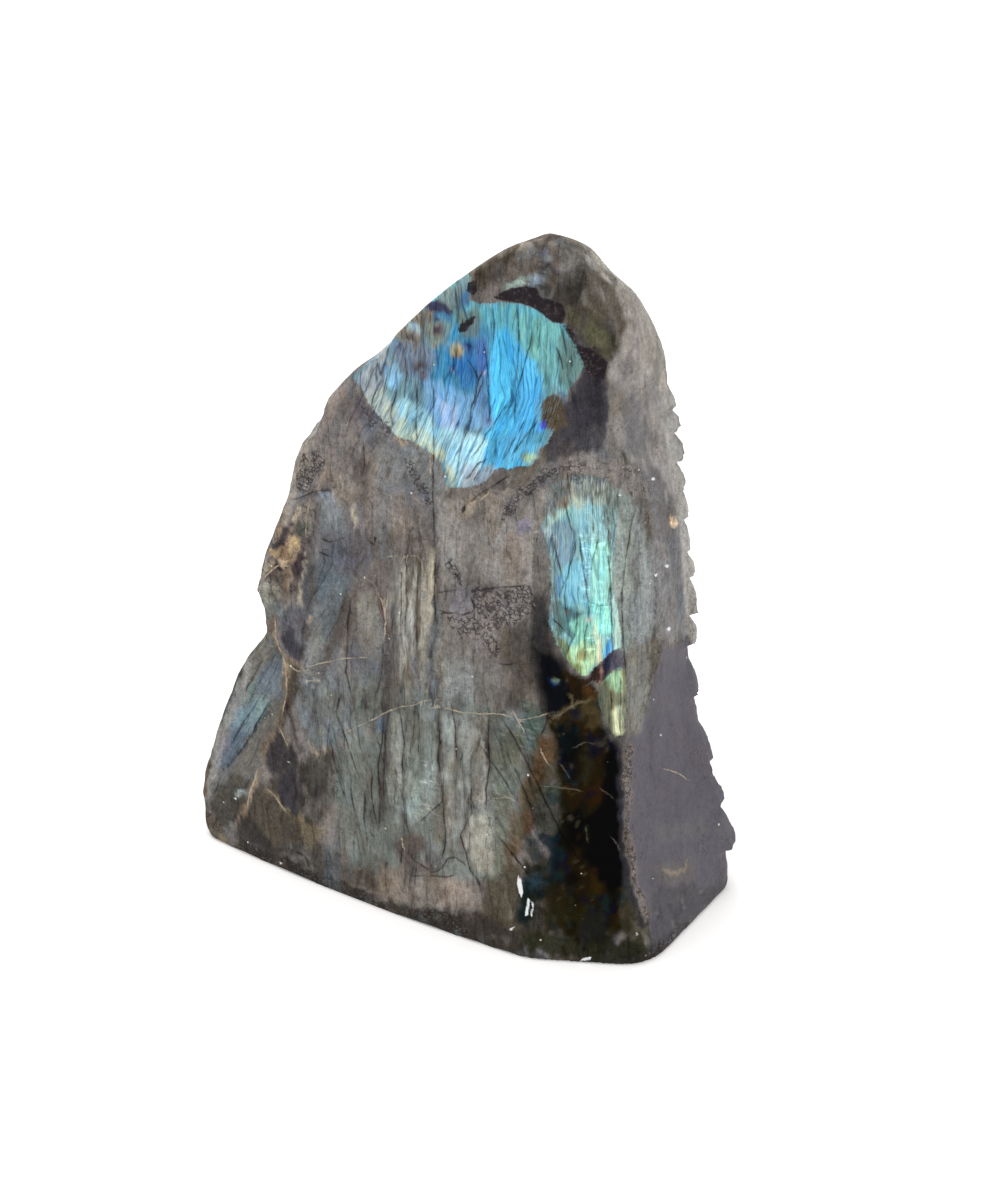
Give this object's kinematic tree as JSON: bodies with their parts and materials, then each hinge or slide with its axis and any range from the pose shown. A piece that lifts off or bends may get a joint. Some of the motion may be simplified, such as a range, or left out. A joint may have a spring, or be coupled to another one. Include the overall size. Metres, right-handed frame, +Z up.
{
  "type": "semi-polished labradorite chunk",
  "caption": "Freeform chunk of labradorite that stands on a sawn base, with a polished front showing blue and green flashes, a honed side and a broken back",
  "frame": {"origin": "centre of the bounding box's bottom, on the sawn base", "axes": "+Z up, the polished front faces -Y, the honed side faces +X"},
  "size_m": [0.1236, 0.0616, 0.1674],
  "materials": {
    "labradorite": "polished front, honed right side, broken back and left side"
  },
  "bodies": {
    "root": {"labradorite_stone": "labradorite"}
  },
  "joints": []
}
